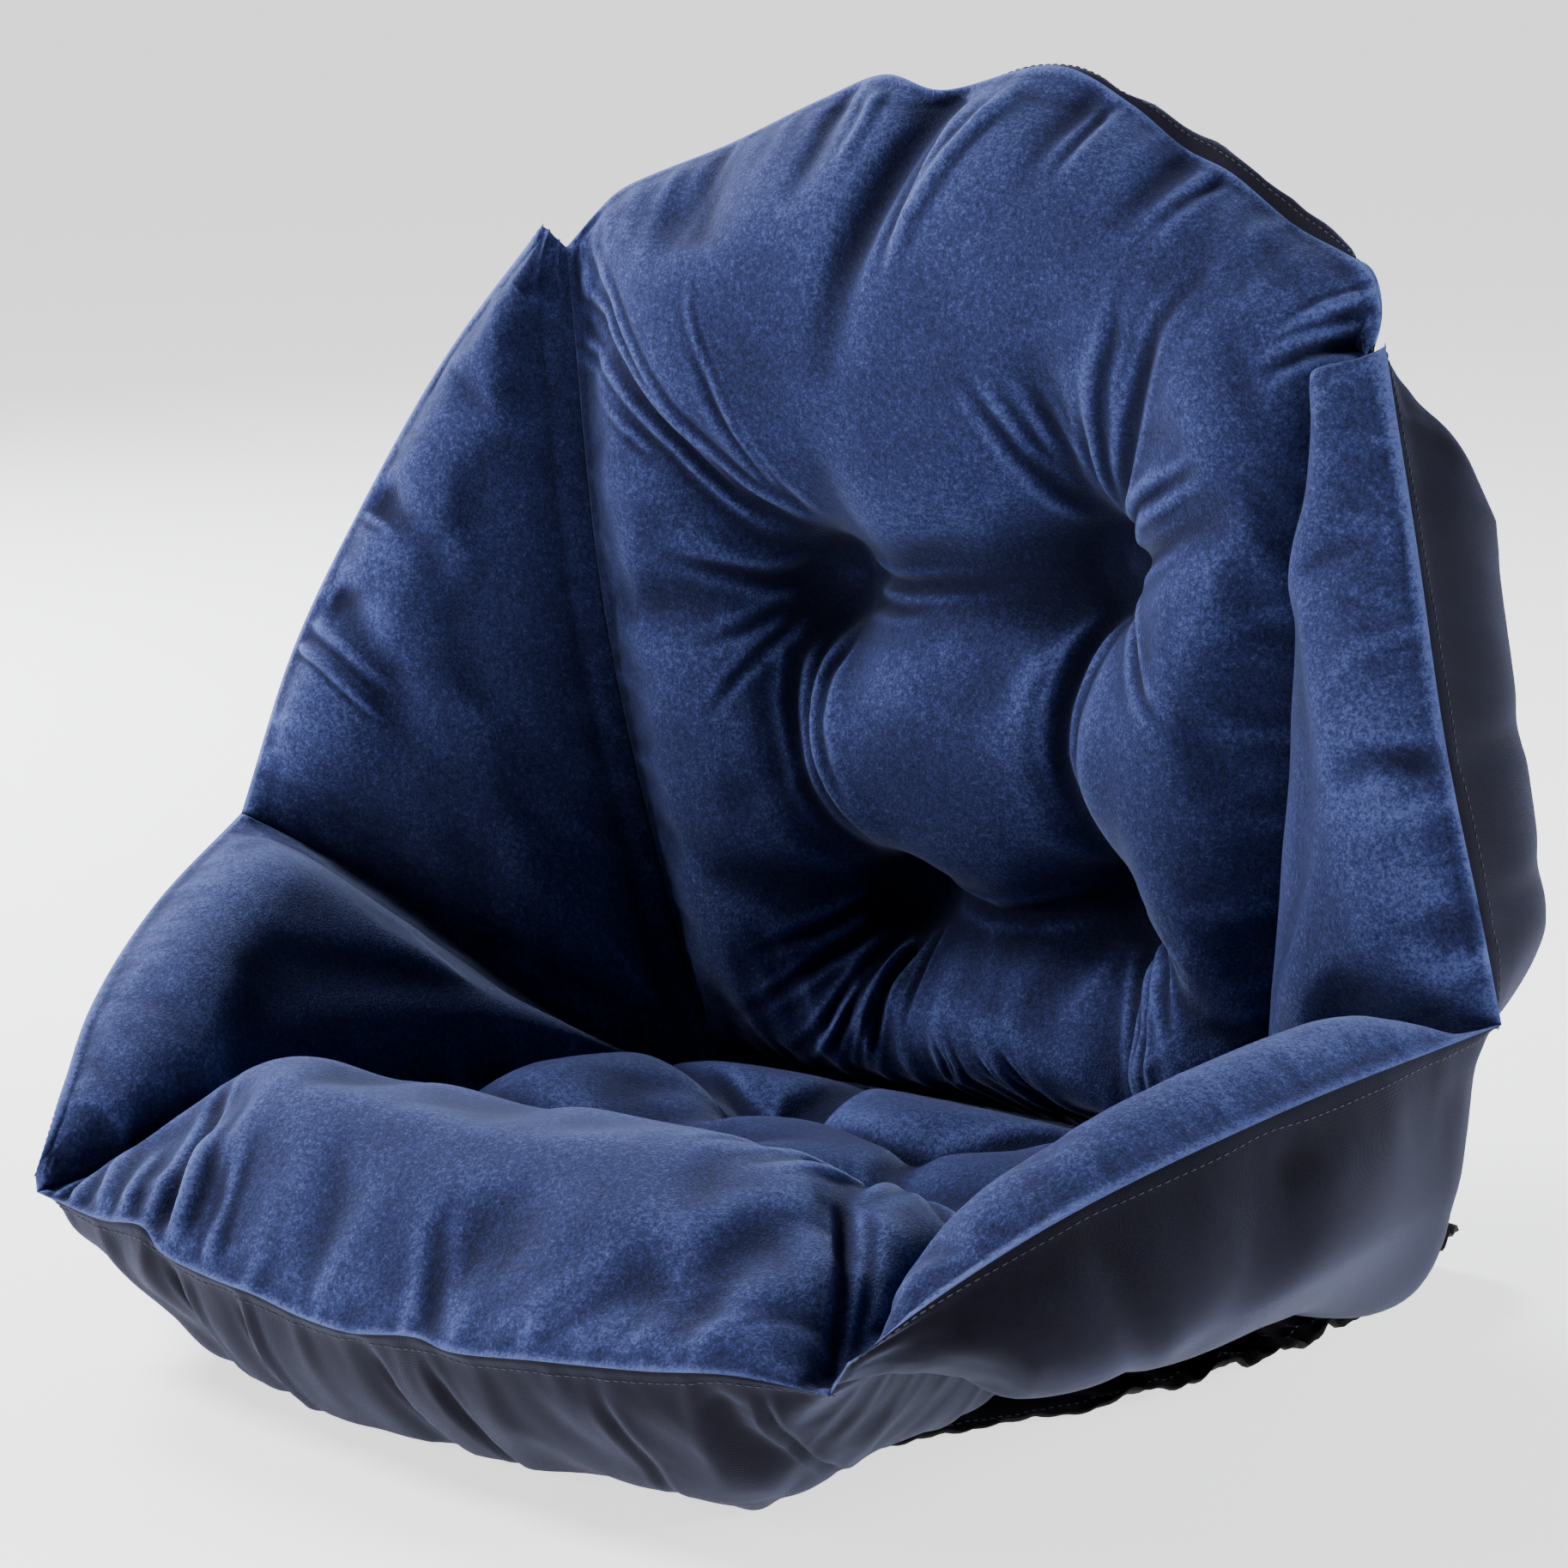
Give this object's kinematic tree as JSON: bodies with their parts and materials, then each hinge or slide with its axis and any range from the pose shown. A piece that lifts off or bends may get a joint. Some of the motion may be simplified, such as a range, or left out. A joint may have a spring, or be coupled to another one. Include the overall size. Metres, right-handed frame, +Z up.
{
  "type": "seat and back cushion for a bucket chair",
  "caption": "one-piece filled cushion with a tufted seat pad, a tufted arched back pad and three-cornered side wings that wrap round the sitter, velvet inside and plain cloth outside",
  "frame": {"origin": "centre of the bounding box in X and Y, on the surface the cushion rests on", "axes": "+X to the right seen from the front, +Y to the back, +Z up"},
  "size_m": [0.6998, 0.5302, 0.5659],
  "materials": {
    "velvet": "short brushed pile, soft sheen; the outer faces are a plain slate-blue cloth",
    "base_cloth": "thin matt non-slip cloth"
  },
  "bodies": {
    "root": {"back_pad": "velvet", "back_wing_left": "velvet", "back_wing_right": "velvet", "seat_pad": "velvet", "seat_wing_left": "velvet", "seat_wing_right": "velvet", "base_cloth": "base_cloth"}
  },
  "joints": []
}
